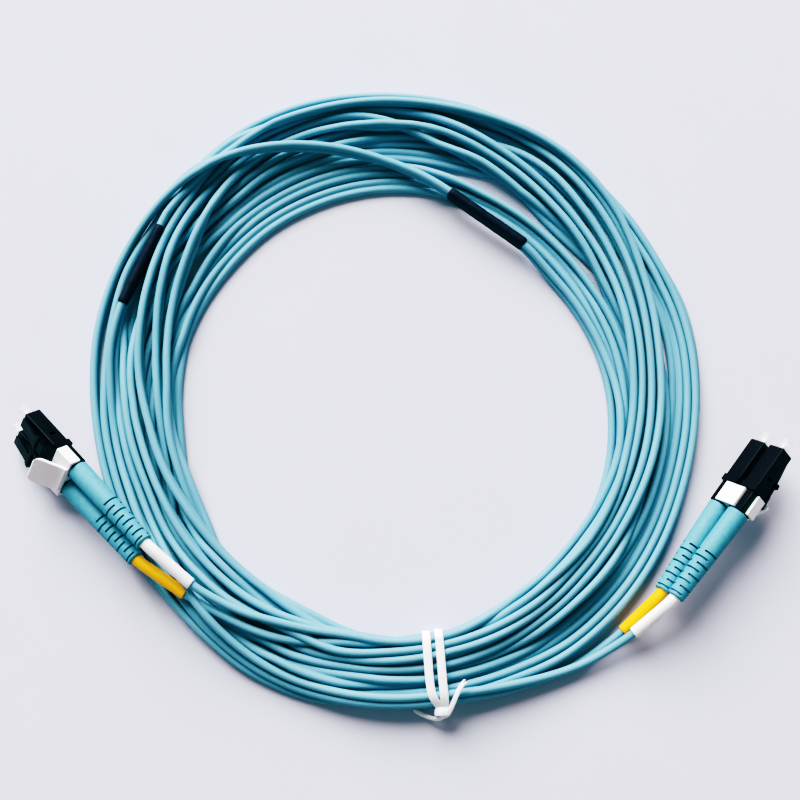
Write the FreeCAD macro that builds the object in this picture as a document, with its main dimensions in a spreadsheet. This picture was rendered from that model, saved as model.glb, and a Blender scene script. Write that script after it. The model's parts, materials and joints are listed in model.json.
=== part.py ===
import FreeCAD, Part
import math
import os

import Sketcher
from FreeCAD import Placement, Rotation, Vector

os.makedirs("parts", exist_ok=True)
doc = FreeCAD.newDocument("patch_cord")
sheet = doc.addObject("Spreadsheet::Sheet", "Dims")

# Driving sizes in millimetres (angles in degrees).  A plug's own frame has
# its mating direction along +X, the housing's front face at x = 0 and the
# latch on the +Z side; the two plugs of an end sit half a pitch each way in Y.
TABLE = [
    # housing
    ("plug_pitch", 6.25), ("body_side", 4.5), ("housing_len", 11.4),
    ("collar_len", 1.8), ("collar_out", 0.2), ("collar_drop", 0.25),
    ("edge_round", 0.3), ("front_bevel", 0.3),
    ("mouth_dia", 3.3), ("mouth_len", 6.2), ("wall_len", 0.7),
    ("wall_hole", 1.6), ("chamber_dia", 3.1),
    ("window_at", 8.2), ("window_len", 0.8), ("window_tall", 1.7),
    # rear body
    ("rear_side", 4.2), ("rear_len", 5.8), ("spigot_dia", 2.9),
    ("spigot_len", 1.7), ("stem_dia", 3.0), ("stem_len", 4.5),
    ("rear_bore", 1.7),
    # ferrule train
    ("ferrule_dia", 1.25), ("ferrule_front", 1.6), ("ferrule_back", 8.0),
    ("ferrule_bevel", 0.18), ("holder_dia", 2.7), ("holder_front", 7.05),
    ("holder_len", 1.45), ("tube_dia", 1.5), ("tube_back", 12.3),
    ("tube_bore", 0.6),
    ("spring_wire", 0.3), ("spring_mean", 2.25), ("spring_turns", 5.0),
    ("spring_play", 0.06),
    # crimp sleeve
    ("crimp_od", 3.8), ("crimp_id", 3.04), ("crimp_front", 19.2),
    ("crimp_step", 23.7), ("crimp_back", 26.2), ("crimp_neck", 2.04),
    # boot
    ("boot_front", 19.2), ("boot_knee", 31.0), ("boot_back", 45.2),
    ("boot_dia_front", 5.4), ("boot_dia_knee", 5.1), ("boot_dia_back", 4.3),
    ("boot_rim", 0.25), ("boot_bore_front", 4.36), ("boot_bore_step", 26.5),
    ("boot_bore_back", 2.95), ("slot_first", 32.0), ("slot_width", 0.5),
    ("slot_pitch", 1.75), ("slot_floor", 1.64), ("slot_reach", 3.2),
    ("slot_arc", 140.0), ("boot_turn_at", 20.0), ("boot_turn", 2.15),
    # latch lever, outline in X and Z
    ("latch_width", 2.6), ("latch_front", 0.5), ("latch_foot", 1.6),
    ("latch_low", 2.32), ("latch_nose", 2.95), ("latch_bend", 1.9),
    ("latch_bend_top", 3.25), ("lug_front", 7.2), ("lug_back", 8.4),
    ("lug_front_low", 3.6), ("lug_front_top", 4.35), ("lug_back_top", 4.55),
    ("lug_rise", 0.4), ("lug_width", 4.4), ("tail_back", 14.4),
    ("tail_low", 4.85), ("tail_top", 5.3), ("ridge_rise", 0.26),
    # clip and trigger
    ("clip_front", 13.4), ("clip_back", 18.8), ("clip_wall", 0.8),
    ("clip_bar_half", 3.05), ("clip_wall_low", 0.15),
    ("trigger_width", 7.8), ("trigger_wall", 0.8), ("trigger_round", 1.9),
    # dust cap
    ("cap_dia", 2.9), ("cap_back", 3.2), ("cap_front", 3.4),
    ("cap_bore", 1.36), ("cap_depth", 2.4), ("cap_round", 0.4),
    # cord and its sleeves
    ("cord_dia", 2.0), ("cord_pitch", 2.05), ("marker_od", 2.9),
    ("marker_id", 2.1), ("marker_in", 41.0), ("marker_out", 13.0),
    ("shrink_wall", 0.3), ("shrink_gap", 0.05), ("shrink_len", 23.0),
    # coil and tie
    ("coil_outer", 78.7), ("coil_inner", 57.6), ("coil_tall", 6.5),
    ("coil_round", 2.4), ("tie_wall", 0.55), ("tie_width", 2.0),
    ("tie_knot", 1.7),
]
VALUE = {}
for row, (alias, value) in enumerate(TABLE, 1):
    sheet.set("A%d" % row, alias)
    sheet.set("B%d" % row, str(value))
    sheet.setAlias("B%d" % row, alias)
    VALUE[alias] = value
doc.recompute()


class Size:
    """A size that carries both its value and the sheet formula behind it."""

    def __init__(self, value, text):
        self.value = value
        self.text = text

    def __add__(self, other):
        other = size(other)
        return Size(self.value + other.value, "(%s + %s)" % (self.text, other.text))

    def __sub__(self, other):
        other = size(other)
        return Size(self.value - other.value, "(%s - %s)" % (self.text, other.text))

    def __mul__(self, factor):
        return Size(self.value * factor, "(%s * %s)" % (self.text, factor))

    def __neg__(self):
        return Size(-self.value, "(0 - %s)" % self.text)


def size(thing):
    if isinstance(thing, Size):
        return thing
    if isinstance(thing, str):
        return Size(VALUE[thing], "Dims." + thing)
    return Size(float(thing), str(float(thing)))


def half(alias):
    return size(alias) * 0.5


def back(alias):
    return -size(alias)


def val(alias):
    return float(sheet.get(alias))


def plane_of(body, role):
    for feature in body.Origin.OriginFeatures:
        if feature.Role == role:
            return feature


def new_body(label):
    body = doc.addObject("PartDesign::Body", label)
    body.Label = label
    return body


def outline(body, name, role, loops, offset=None):
    """Sketch on an origin plane; each loop is a list of corners or (x, y, radius)."""
    sk = body.newObject("Sketcher::SketchObject", name)
    sk.AttachmentSupport = [(plane_of(body, role), "")]
    sk.MapMode = "FlatFace"
    if offset is not None:
        sk.AttachmentOffset = Placement(Vector(0, 0, offset.value), Rotation())
        sk.setExpression("AttachmentOffset.Base.z", offset.text)
    bound = []

    def pin(geo, pos, axis, where):
        if abs(where.value) < 1e-9:
            sk.addConstraint(Sketcher.Constraint(
                "PointOnObject", geo, pos, -2 if axis == "X" else -1))
            return
        kind = "Distance" + axis
        if where.value > 0:
            index = sk.addConstraint(Sketcher.Constraint(kind, -1, 1, geo, pos, where.value))
            bound.append((index, where.text))
        else:
            index = sk.addConstraint(Sketcher.Constraint(kind, geo, pos, -1, 1, -where.value))
            bound.append((index, (-where).text))

    for loop in loops:
        if isinstance(loop, tuple):
            cx, cy, radius = (size(part) for part in loop)
            geo = sk.addGeometry(Part.Circle(Vector(cx.value, cy.value, 0),
                                             Vector(0, 0, 1), radius.value))
            index = sk.addConstraint(Sketcher.Constraint("Radius", geo, radius.value))
            bound.append((index, radius.text))
            pin(geo, 3, "X", cx)
            pin(geo, 3, "Y", cy)
            continue
        corners = [(size(x), size(y)) for x, y in loop]
        lines = []
        for i, (x, y) in enumerate(corners):
            nx, ny = corners[(i + 1) % len(corners)]
            lines.append(sk.addGeometry(Part.LineSegment(
                Vector(x.value, y.value, 0), Vector(nx.value, ny.value, 0))))
        for i, geo in enumerate(lines):
            sk.addConstraint(Sketcher.Constraint(
                "Coincident", geo, 2, lines[(i + 1) % len(lines)], 1))
        for geo, (x, y) in zip(lines, corners):
            pin(geo, 1, "X", x)
            pin(geo, 1, "Y", y)
    for index, text in bound:
        sk.setExpression("Constraints[%d]" % index, text)
    return sk


def pad(body, name, sk, length, both=False, flip=False, cut=False):
    feature = body.newObject("PartDesign::Pocket" if cut else "PartDesign::Pad", name)
    feature.Profile = sk
    length = size(length)
    feature.Length = length.value
    feature.setExpression("Length", length.text)
    if both:
        feature.SideType = "Symmetric"
    feature.Reversed = flip
    doc.recompute()
    return feature


def turn(body, name, sk, cut=False, arc=None):
    feature = body.newObject("PartDesign::Groove" if cut else "PartDesign::Revolution", name)
    feature.Profile = sk
    feature.ReferenceAxis = (sk, ["H_Axis"])
    if arc is None:
        feature.Angle = 360.0
    else:
        arc = size(arc)
        feature.Angle = arc.value
        feature.setExpression("Angle", arc.text)
        feature.Midplane = True
    doc.recompute()
    return feature


def dress(body, kind, name, base, radius, wanted):
    """Round or bevel the edges of base whose midpoint and direction suit."""
    names = []
    for i, edge in enumerate(base.Shape.Edges, 1):
        a, b = edge.Vertexes[0].Point, edge.Vertexes[-1].Point
        middle = (a + b) * 0.5
        if wanted(a, b, middle, edge):
            names.append("Edge%d" % i)
    feature = body.newObject("PartDesign::" + kind, name)
    feature.Base = (base, names)
    radius = size(radius)
    prop = "Radius" if kind == "Fillet" else "Size"
    setattr(feature, prop, radius.value)
    feature.setExpression(prop, radius.text)
    doc.recompute()
    return feature


# ---------------------------------------------------------------- plug pieces

def make_housing(label):
    body = new_body(label)
    s = half("body_side")
    sk = outline(body, label + "_section", "YZ_Plane", [[(-s, -s), (s, -s), (s, s), (-s, s)]])
    block = pad(body, label + "_block", sk, "housing_len", flip=True)
    block = dress(body, "Fillet", label + "_long_edges", block, "edge_round",
                  lambda a, b, m, e: abs(a.x - b.x) > 5)
    block = dress(body, "Chamfer", label + "_front_edges", block, "front_bevel",
                  lambda a, b, m, e: abs(a.x) < 1e-6 and abs(b.x) < 1e-6)
    w = s + "collar_out"
    low = s + "collar_drop"
    sk = outline(body, label + "_collar_section", "YZ_Plane",
                 [[(-w, -low), (w, -low), (w, s), (-w, s)]], offset=back("housing_len"))
    pad(body, label + "_collar", sk, "collar_len", flip=True)
    end = size("housing_len") + "collar_len"
    mouth, hole, room = half("mouth_dia"), half("wall_hole"), half("chamber_dia")
    wall = size("mouth_len") + "wall_len"
    sk = outline(body, label + "_bore_outline", "XY_Plane", [[
        (0, 0), (0, mouth), (back("mouth_len"), mouth), (back("mouth_len"), hole),
        (-wall, hole), (-wall, room), (-end, room), (-end, 0)]])
    turn(body, label + "_bore", sk, cut=True)
    front = size("window_at") - half("window_len")
    rear = size("window_at") + half("window_len")
    t = half("window_tall")
    sk = outline(body, label + "_window_outline", "XZ_Plane",
                 [[(-rear, -t), (-front, -t), (-front, t), (-rear, t)]])
    pad(body, label + "_window", sk, size("body_side") + 1.0, both=True, cut=True)
    return body


def make_latch(label):
    body = new_body(label)
    corners = [
        (back("latch_front"), "latch_low"), (back("latch_foot"), "latch_low"),
        (back("tail_back"), "tail_low"), (back("tail_back"), "tail_top")]
    # saw-tooth grip ridges on the tail's top, rear to front
    count = 6
    rise = (VALUE["tail_top"] - VALUE["lug_back_top"]) / (VALUE["tail_back"] - VALUE["lug_back"])
    for i in range(count):
        x0 = size("tail_back") - (0.25 + 0.6 * i)
        x1 = x0 - 0.12
        x2 = x0 - 0.38
        x3 = x0 - 0.5
        for x, up in ((x0, 0), (x1, 1), (x2, 1), (x3, 0)):
            z = size("tail_top") - rise * (VALUE["tail_back"] - x.value)
            if up:
                z = z + "ridge_rise"
            corners.append((-x, z))
    corners += [
        (back("lug_back"), "lug_back_top"),
        (back("lug_back"), size("lug_back_top") + "lug_rise"),
        (back("lug_front"), size("lug_front_top") + "lug_rise"),
        (back("lug_front"), "lug_front_top"),
        (back("latch_bend"), "latch_bend_top"), (back("latch_front"), "latch_nose")]
    sk = outline(body, label + "_outline", "XZ_Plane", [corners])
    pad(body, label + "_arm", sk, "latch_width", both=True)
    sk = outline(body, label + "_lug_outline", "XZ_Plane", [[
        (back("lug_front"), "lug_front_low"), (back("lug_back"), size("lug_front_low") + 0.26),
        (back("lug_back"), size("lug_back_top")), (back("lug_front"), "lug_front_top")]])
    pad(body, label + "_lugs", sk, "lug_width", both=True)
    return body


def make_rear_body(label):
    body = new_body(label)
    s = half("rear_side")
    start = size("housing_len") + "collar_len"
    end = start + "rear_len"
    sk = outline(body, label + "_section", "YZ_Plane",
                 [[(-s, -s), (s, -s), (s, s), (-s, s)]], offset=-start)
    block = pad(body, label + "_block", sk, "rear_len", flip=True)
    dress(body, "Fillet", label + "_long_edges", block, "edge_round",
          lambda a, b, m, e: abs(a.x - b.x) > 3)
    sk = outline(body, label + "_spigot_ring", "YZ_Plane", [(0, 0, half("spigot_dia"))],
                 offset=-start)
    pad(body, label + "_spigot", sk, "spigot_len")
    sk = outline(body, label + "_stem_ring", "YZ_Plane", [(0, 0, half("stem_dia"))],
                 offset=-end)
    pad(body, label + "_stem", sk, "stem_len", flip=True)
    sk = outline(body, label + "_bore_ring", "YZ_Plane", [(0, 0, half("rear_bore"))])
    pad(body, label + "_bore", sk, 30.0, cut=True)
    return body


def make_ferrule(label):
    body = new_body(label)
    r = half("ferrule_dia")
    sk = outline(body, label + "_outline", "XY_Plane", [[
        ("ferrule_front", 0), ("ferrule_front", r - "ferrule_bevel"),
        (size("ferrule_front") - "ferrule_bevel", r), (back("ferrule_back"), r),
        (back("ferrule_back"), 0)]])
    turn(body, label + "_pin", sk)
    return body


def make_holder(label):
    body = new_body(label)
    r, flange, tube, hole = (half("ferrule_dia"), half("holder_dia"), half("tube_dia"),
                             half("tube_bore"))
    rear = size("holder_front") + "holder_len"
    sk = outline(body, label + "_outline", "XY_Plane", [[
        (back("holder_front"), r), (back("holder_front"), flange - 0.2),
        (-(size("holder_front") + 0.2), flange), (-rear, flange), (-rear, tube),
        (back("tube_back"), tube), (back("tube_back"), hole),
        (back("ferrule_back"), hole), (back("ferrule_back"), r)]])
    turn(body, label + "_flange", sk)
    return body


def make_crimp(label):
    body = new_body(label)
    out, wide, neck = half("crimp_od"), half("crimp_id"), half("crimp_neck")
    sk = outline(body, label + "_outline", "XY_Plane", [[
        (back("crimp_front"), wide), (back("crimp_front"), out),
        (-(size("crimp_step") - 0.4), out), (-(size("crimp_step") + 0.3), neck + 0.5),
        (back("crimp_back"), neck + 0.5), (back("crimp_back"), neck),
        (back("crimp_step"), neck), (back("crimp_step"), wide)]])
    turn(body, label + "_ring", sk)
    return body


def make_boot(label):
    body = new_body(label)
    front, knee, rear = half("boot_dia_front"), half("boot_dia_knee"), half("boot_dia_back")
    wide, narrow = half("boot_bore_front"), half("boot_bore_back")
    sk = outline(body, label + "_outline", "XY_Plane", [[
        (back("boot_front"), wide), (back("boot_front"), front - "boot_rim"),
        (-(size("boot_front") + "boot_rim"), front), (back("boot_knee"), knee),
        (-(size("boot_back") - "boot_rim"), rear), (back("boot_back"), rear - "boot_rim"),
        (back("boot_back"), narrow), (back("boot_bore_step"), narrow),
        (back("boot_bore_step"), wide)]])
    turn(body, label + "_sleeve", sk)
    # first two rows of flexing slots, a quarter turn from each other
    grooves = []
    for k, (role, at) in enumerate((("XY_Plane", size("slot_first")),
                                    ("XZ_Plane", size("slot_first") + "slot_pitch"))):
        x0, x1 = -(at + half("slot_width")), -(at - half("slot_width"))
        for side, sign in (("p", 1), ("n", -1)):
            lo, hi = size("slot_floor"), size("slot_reach")
            if sign < 0:
                lo, hi = -hi, -lo
            sk = outline(body, "%s_slot%d%s_outline" % (label, k, side), role,
                         [[(x0, lo), (x1, lo), (x1, hi), (x0, hi)]])
            grooves.append(turn(body, "%s_slot%d%s" % (label, k, side), sk, cut=True,
                                arc="slot_arc"))
    rows = body.newObject("PartDesign::LinearPattern", label + "_slot_rows")
    rows.Originals = grooves
    rows.Direction = (plane_axis(body), [""])
    rows.Reversed = True
    rows.Occurrences = 4
    span = size("slot_pitch") * 6.0
    rows.Length = span.value
    rows.setExpression("Length", span.text)
    body.Tip = rows
    doc.recompute()
    return body


def plane_axis(body):
    for feature in body.Origin.OriginFeatures:
        if feature.Role == "X_Axis":
            return feature


def make_cap(label):
    body = new_body(label)
    r, hole = half("cap_dia"), half("cap_bore")
    sk = outline(body, label + "_outline", "XY_Plane", [[
        (back("cap_back"), hole), (back("cap_back"), r - 0.15),
        (-(size("cap_back") - 0.15), r), (0.5, r), (0.5, r + 0.25), (0.9, r + 0.25),
        (0.9, r), (size("cap_front") - "cap_round", r), ("cap_front", r - "cap_round"),
        ("cap_front", 0), ("cap_depth", 0), ("cap_depth", hole)]])
    turn(body, label + "_shell", sk)
    return body


def make_spring(label):
    """Open coil wound round the plug's own X axis between flange and spigot."""
    mean, wire, turns = val("spring_mean") / 2, val("spring_wire") / 2, val("spring_turns")
    front = -(val("holder_front") + val("holder_len")) - val("spring_play") - wire
    rear = -(val("housing_len") + val("collar_len") - val("spigot_len")) + val("spring_play") + wire
    rise = front - rear
    helix = Part.makeHelix(rise / turns, rise, mean)
    helix.rotate(Vector(0, 0, 0), Vector(0, 1, 0), 90)
    helix.translate(Vector(rear, 0, 0))
    # eight flats of the round wire's area
    rim = wire * math.sqrt(math.pi / (4 * math.sin(math.pi / 4)))
    corners = [Vector(rear + rim * math.sin(k * math.pi / 4), 0, -mean - rim * math.cos(k * math.pi / 4))
               for k in range(8)]
    ring = Part.makePolygon(corners + corners[:1])
    coil = Part.Wire(helix.Edges).makePipeShell([ring], True, True)
    piece = doc.addObject("Part::Feature", label)
    piece.Label = label
    piece.Shape = coil
    return piece


# ----------------------------------------------------------- clip and trigger

def make_clip(label):
    body = new_body(label)
    inner = half("plug_pitch") - half("rear_side")
    outer = half("plug_pitch") + half("rear_side")
    s = half("rear_side")
    far = outer + "clip_wall"
    top = s + "clip_wall"
    low = s + "clip_wall"
    bar = size("clip_bar_half")
    wall = size("clip_wall_low")
    sk = outline(body, label + "_section", "YZ_Plane", [[
        (-bar, -low), (bar, -low), (bar, -s), (inner, -s), (inner, s), (outer, s),
        (outer, -wall), (far, -wall), (far, top), (-far, top), (-far, -wall),
        (-outer, -wall), (-outer, s), (-inner, s), (-inner, -s), (-bar, -s)]],
        offset=back("clip_front"))
    block = pad(body, label + "_frame", sk, size("clip_back") - "clip_front", flip=True)
    dress(body, "Fillet", label + "_top_edges", block, "edge_round",
          lambda a, b, m, e: abs(a.x - b.x) > 3 and abs(m.y) > 5.9 and m.z > 2.5)
    return body


def make_trigger(label):
    body = new_body(label)
    w = size("trigger_wall")
    # the plate leaves the clip level and sweeps up over the latch tails
    (x0, z0), (x1, z1), (x2, z2), (x3, z3) = ((-18.75, 2.98), (-17.3, 2.98), (-15.6, 5.1), (-11.75, 7.3))
    low, high = [], []
    steps = 14
    for i in range(steps + 1):
        t = i / steps
        a, b, c, d = (1 - t) ** 3, 3 * t * (1 - t) ** 2, 3 * t * t * (1 - t), t ** 3
        x, z = a * x0 + b * x1 + c * x2 + d * x3, a * z0 + b * z1 + c * z2 + d * z3
        dx = (x1 - x0) * (1 - t) ** 2 + 2 * (x2 - x1) * t * (1 - t) + (x3 - x2) * t * t
        dz = (z1 - z0) * (1 - t) ** 2 + 2 * (z2 - z1) * t * (1 - t) + (z3 - z2) * t * t
        n = math.hypot(dx, dz)
        low.append((x, z))
        high.append((size(x) - w * (dz / n), size(z) + w * (dx / n)))
    tip = (size(x3) + w * (0.3 * dx / n - 0.5 * dz / n), size(z3) + w * (0.3 * dz / n + 0.5 * dx / n))
    sk = outline(body, label + "_outline", "XZ_Plane", [low + [tip] + high[::-1]])
    pad(body, label + "_plate", sk, "trigger_width", both=True)
    # rounded front corners
    r = size("trigger_round")
    side = half("trigger_width")
    front = tip[0] + 0.02
    loops = []
    for sign in (1, -1):
        corner = [(front + 1.0, (side - r) * sign)]
        for k in range(11):
            a = math.radians(9.0 * k)
            corner.append((front - r + r * math.cos(a), (side - r + r * math.sin(a)) * sign))
        corner += [(front - r, (side + 1.0) * sign), (front + 1.0, (side + 1.0) * sign)]
        loops.append(corner)
    sk = outline(body, label + "_corner_outline", "XY_Plane", loops)
    pad(body, label + "_corners", sk, size(24.0), both=True, cut=True)
    return body


# -------------------------------------------------------------- cord and coil

def shifted(point):
    return Vector(point[0] - SHIFT[0], point[1] - SHIFT[1], point[2])


def route(points):
    """Straight runs joined by tangent arcs: list of (edge, length)."""
    edges = []
    radii = []
    at = points[0]
    for i in range(1, len(points) - 1):
        p, q, r = points[i - 1], points[i], points[i + 1]
        u, v = (p - q).normalize(), (r - q).normalize()
        turn_by = math.pi - u.getAngle(v)
        shorter = min((p - q).Length, (r - q).Length)
        back_off = 0.45 * shorter
        radius = back_off / math.tan(turn_by / 2)
        radii.append(round(radius, 1))
        a, b = q + u * back_off, q + v * back_off
        bisector = (u + v).normalize()
        centre = q + bisector * math.hypot(radius, back_off)
        middle = centre - bisector * radius
        edges.append(Part.LineSegment(at, a).toShape())
        edges.append(Part.Arc(a, middle, b).toShape())
        at = b
    edges.append(Part.LineSegment(at, points[-1]).toShape())
    return edges, radii


def stretch(edges, start, stop):
    """The part of a chain of edges between two distances along it."""
    out = []
    done = 0.0
    for edge in edges:
        length = edge.Length
        a, b = max(start - done, 0.0), min(stop - done, length)
        if b - a > 1e-6:
            pa = edge.valueAt(edge.getParameterByLength(a))
            pb = edge.valueAt(edge.getParameterByLength(b))
            if isinstance(edge.Curve, Part.Line):
                out.append(Part.LineSegment(pa, pb).toShape())
            else:
                pm = edge.valueAt(edge.getParameterByLength((a + b) / 2))
                out.append(Part.Arc(pa, pm, pb).toShape())
        done += length
    return out


def tube(edges, diameter):
    wire = Part.Wire(edges)
    begin = edges[0].valueAt(edges[0].FirstParameter)
    along = edges[0].tangentAt(edges[0].FirstParameter)
    ring = Part.Wire([Part.makeCircle(diameter / 2, begin, along)])
    return wire.makePipeShell([ring], True, False)


def make_feature(label, shape):
    piece = doc.addObject("Part::Feature", label)
    piece.Label = label
    piece.Shape = shape
    return piece


def prism(name, kind, **sizes):
    part = doc.addObject("Part::" + kind, name)
    for prop, thing in sizes.items():
        thing = size(thing)
        setattr(part, prop, thing.value)
        part.setExpression(prop, thing.text)
    return part


def fuse(name, parts):
    joined = doc.addObject("Part::MultiFuse", name)
    joined.Shapes = parts
    return joined


def minus(name, base, tool):
    cut = doc.addObject("Part::Cut", name)
    cut.Base = base
    cut.Tool = tool
    return cut


def make_shrink(label, begin, end):
    """Flattened sleeve over two cords standing one above the other."""
    along = (end - begin).normalize()
    side = along.cross(Vector(0, 0, 1)).normalize()
    up = side.cross(along)
    outer = half("cord_dia") + "shrink_gap" + "shrink_wall"
    inner = half("cord_dia") + "shrink_gap"
    shells = []
    for tag, radius, extra in (("out", outer, 0.0), ("in", inner, 1.0)):
        length = size("shrink_len") + 2 * extra
        pieces = []
        for k, sign in (("a", -1), ("b", 1)):
            rod = prism("%s_%s_%s" % (label, tag, k), "Cylinder", Radius=radius, Height=length)
            rod.Placement = Placement(Vector(0, sign * VALUE["cord_pitch"] / 2, -extra), Rotation())
            pieces.append(rod)
        slab = prism("%s_%s_c" % (label, tag), "Box", Length=radius * 2.0,
                     Width="cord_pitch", Height=length)
        slab.Placement = Placement(
            Vector(-radius.value, -VALUE["cord_pitch"] / 2, -extra), Rotation())
        pieces.append(slab)
        shells.append(fuse("%s_%s" % (label, tag), pieces))
    piece = minus(label, shells[0], shells[1])
    piece.Label = label
    middle = (begin + end) * 0.5 - along * (VALUE["shrink_len"] / 2)
    piece.Placement = Placement(middle, Rotation(side, up, along, "ZYX"))
    return piece


# ------------------------------------------------------------ where they lie

# Middle of the whole object in the plan that the positions below are given in.
SHIFT = (-0.758, 2.125)

LEFT = dict(at=(-94.10, -7.24, 5.5), heading=134.21, dip=7.5, lean=43.95)
RIGHT = dict(at=(92.47, -13.48, 8.3), heading=52.92, dip=0.0, lean=None, rise=49.24)


def end_frame(spec):
    """Placement of an end: X to the front, Y across the two plugs, Z to the latches."""
    h = math.radians(spec["heading"])
    dip = math.radians(spec["dip"])
    flat = Vector(math.cos(h), math.sin(h), 0)
    across = Vector(flat.y, -flat.x, 0)
    front = flat * math.cos(dip) - Vector(0, 0, 1) * math.sin(dip)
    if spec["lean"] is not None:
        lean = math.radians(spec["lean"])
        hint = -(Vector(0, 0, 1) * math.cos(lean) + across * math.sin(lean))
    else:
        rise = math.radians(spec["rise"])
        hint = across * math.cos(rise) + Vector(0, 0, 1) * math.sin(rise)
    y = (hint - front * hint.dot(front)).normalize()
    z = front.cross(y)
    return Placement(shifted(spec["at"]), Rotation(front, y, z, "XYZ"))


FINISHED = []


def finish(piece, placement=None):
    if placement is not None:
        piece.Placement = placement
    FINISHED.append(piece)
    return piece


# Way points of each leg behind its boot: two on the plug's own axis, the rest
# in plan, in millimetres.
LEGS = {
    "left_upper": [(-43.5, -50.9, 7.9), (-28.8, -55.8, 5.0)],
    "left_lower": [(-45.7, -53.5, 6.9), (-31.2, -58.4, 4.5)],
    "right_lower": [(45.3, -63.8, 1.1), (28.0, -71.0, 1.1), (12.6, -73.4, 2.0)],
    "right_upper": [(45.3, -63.8, 3.6), (28.0, -71.0, 3.3), (12.6, -73.4, 4.1)],
}
RUN_IN, RUN_OUT = 38.0, 52.0

for end, spec in (("left", LEFT), ("right", RIGHT)):
    home = end_frame(spec)
    # the plug on the higher side of each end is the upper one
    sides = (("upper", -1), ("lower", 1)) if end == "left" else (("lower", -1), ("upper", 1))
    for level, sign in sides:
        tag = "%s_%s" % (end, level)
        here = home * Placement(Vector(0, sign * val("plug_pitch") / 2, 0), Rotation())
        finish(make_housing("housing_" + tag), here)
        finish(make_latch("latch_" + tag), here)
        finish(make_rear_body("rear_body_" + tag), here)
        finish(make_ferrule("ferrule_" + tag), here)
        finish(make_holder("ferrule_holder_" + tag), here)
        finish(make_spring("spring_" + tag), here)
        finish(make_crimp("crimp_sleeve_" + tag), here)
        # the right end's two boots are drawn together towards the cord
        drawn = sign * val("boot_turn") if end == "right" else 0.0
        pivot = Vector(-val("boot_turn_at"), 0, 0)
        leant = here * Placement(Vector(), Rotation(Vector(0, 0, 1), drawn), pivot)
        finish(make_boot("boot_" + tag), leant)
        finish(make_cap("dust_cap_" + tag), here)
        # straight from the crimp, then along the boot's own axis
        begin = val("crimp_step") + 0.1
        points = [here.multVec(Vector(-begin, 0, 0))]
        if drawn:
            points += [here.multVec(Vector(-val("crimp_back") - 2.8, 0, 0)),
                       leant.multVec(Vector(-RUN_IN, 0, 0))]
        points += [leant.multVec(Vector(-RUN_OUT, 0, 0))]
        points += [shifted(p) for p in LEGS[tag]]
        edges, radii = route(points)
        total = sum(e.Length for e in edges)
        leg = tube(edges, val("cord_dia"))
        print(tag, "runs", [round((b - a).Length, 1) for a, b in zip(points, points[1:])],
              "radii", radii, "length", round(total, 1), "volume ratio",
              round(leg.Volume / (math.pi * total * val("cord_dia") ** 2 / 4), 3))
        finish(make_feature("leg_" + tag, leg))
        reach = val("boot_back") + val("marker_out") - begin
        part_way = stretch(edges, val("marker_in") - begin, reach)
        marker = tube(part_way, val("marker_od")).cut(
            tube(stretch(edges, val("marker_in") - begin - 2.0, reach + 1.0), val("marker_id")))
        finish(make_feature("marker_sleeve_" + tag, marker))
    finish(make_clip("duplex_clip_" + end), home)
    finish(make_trigger("trigger_" + end), home)

finish(make_shrink("heat_shrink_left", shifted((32.4, 41.3, 3.4)), shifted((13.6, 54.9, 5.2))))
finish(make_shrink("heat_shrink_right", shifted((-72.2, 25.9, 5.6)), shifted((-62.7, 47.2, 5.6))))

# The coil: an off-centre ring with rounded edges, let in a little on top and
# underneath where the tie goes round it.
OUTER_AT, INNER_AT = shifted((-1.28, 3.77, 0)), shifted((-1.27, -1.31, 0))
TIE_X = (5.4, 9.3)
TIE_FROM, TIE_TO = (-74.75, -74.3), (-58.15, -57.4)
disc = prism("coil_disc", "Cylinder", Radius="coil_outer", Height="coil_tall")
disc.Placement = Placement(OUTER_AT, Rotation())
hole = prism("coil_hole", "Cylinder", Radius="coil_inner", Height=size("coil_tall") + 2.0)
hole.Placement = Placement(INNER_AT - Vector(0, 0, 1), Rotation())
ring = minus("coil_ring", disc, hole)
doc.recompute()
soft = doc.addObject("Part::Fillet", "coil_soft")
soft.Base = ring
soft.Edges = [(i, VALUE["coil_round"], VALUE["coil_round"])
              for i, e in enumerate(ring.Shape.Edges, 1)
              if isinstance(e.Curve, Part.Circle)]
doc.recompute()
waist = []
for k, where in (("low", -1.0), ("high", VALUE["coil_tall"] - VALUE["tie_wall"] - 0.05)):
    slab = prism("coil_waist_" + k, "Box", Length=7.2, Width=24.0,
                 Height=size("tie_wall") + 1.05)
    slab.Placement = Placement(shifted((TIE_X[0] - 0.6, -78.5, where)), Rotation())
    waist.append(slab)
coil = minus("cord_coil", soft, fuse("coil_waist", waist))
coil.Label = "cord_coil"
finish(coil)

# The tie: two bands round the coil, a knot on the outside and two tails.
pieces = []
for k in (0, 1):
    wide = prism("tie_band_out%d" % k, "Box", Length="tie_width",
                 Width=size(TIE_TO[k] - TIE_FROM[k]) + size("tie_wall") * 2.0, Height="coil_tall")
    wide.Placement = Placement(shifted((TIE_X[k], TIE_FROM[k] - VALUE["tie_wall"], 0.0)), Rotation())
    slot = prism("tie_band_in%d" % k, "Box", Length=size("tie_width") + 2.0,
                 Width=TIE_TO[k] - TIE_FROM[k], Height=size("coil_tall") - size("tie_wall") * 2.0)
    slot.Placement = Placement(shifted((TIE_X[k] - 1.0, TIE_FROM[k], VALUE["tie_wall"])), Rotation())
    pieces.append(minus("tie_band%d" % k, wide, slot))
knot = prism("tie_knot", "Cylinder", Radius="tie_knot", Height=size("tie_knot") * 2.0)
knot.Placement = Placement(shifted((9.6 - VALUE["tie_knot"], -76.2, 2.6)), Rotation(Vector(0, 1, 0), 90))
pieces.append(knot)
bridge = prism("tie_bridge", "Box", Length=5.0, Width="tie_wall", Height="tie_width")
bridge.Placement = Placement(shifted((5.9, -75.1, 1.7)), Rotation(Vector(0, 0, 1), -12))
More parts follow.
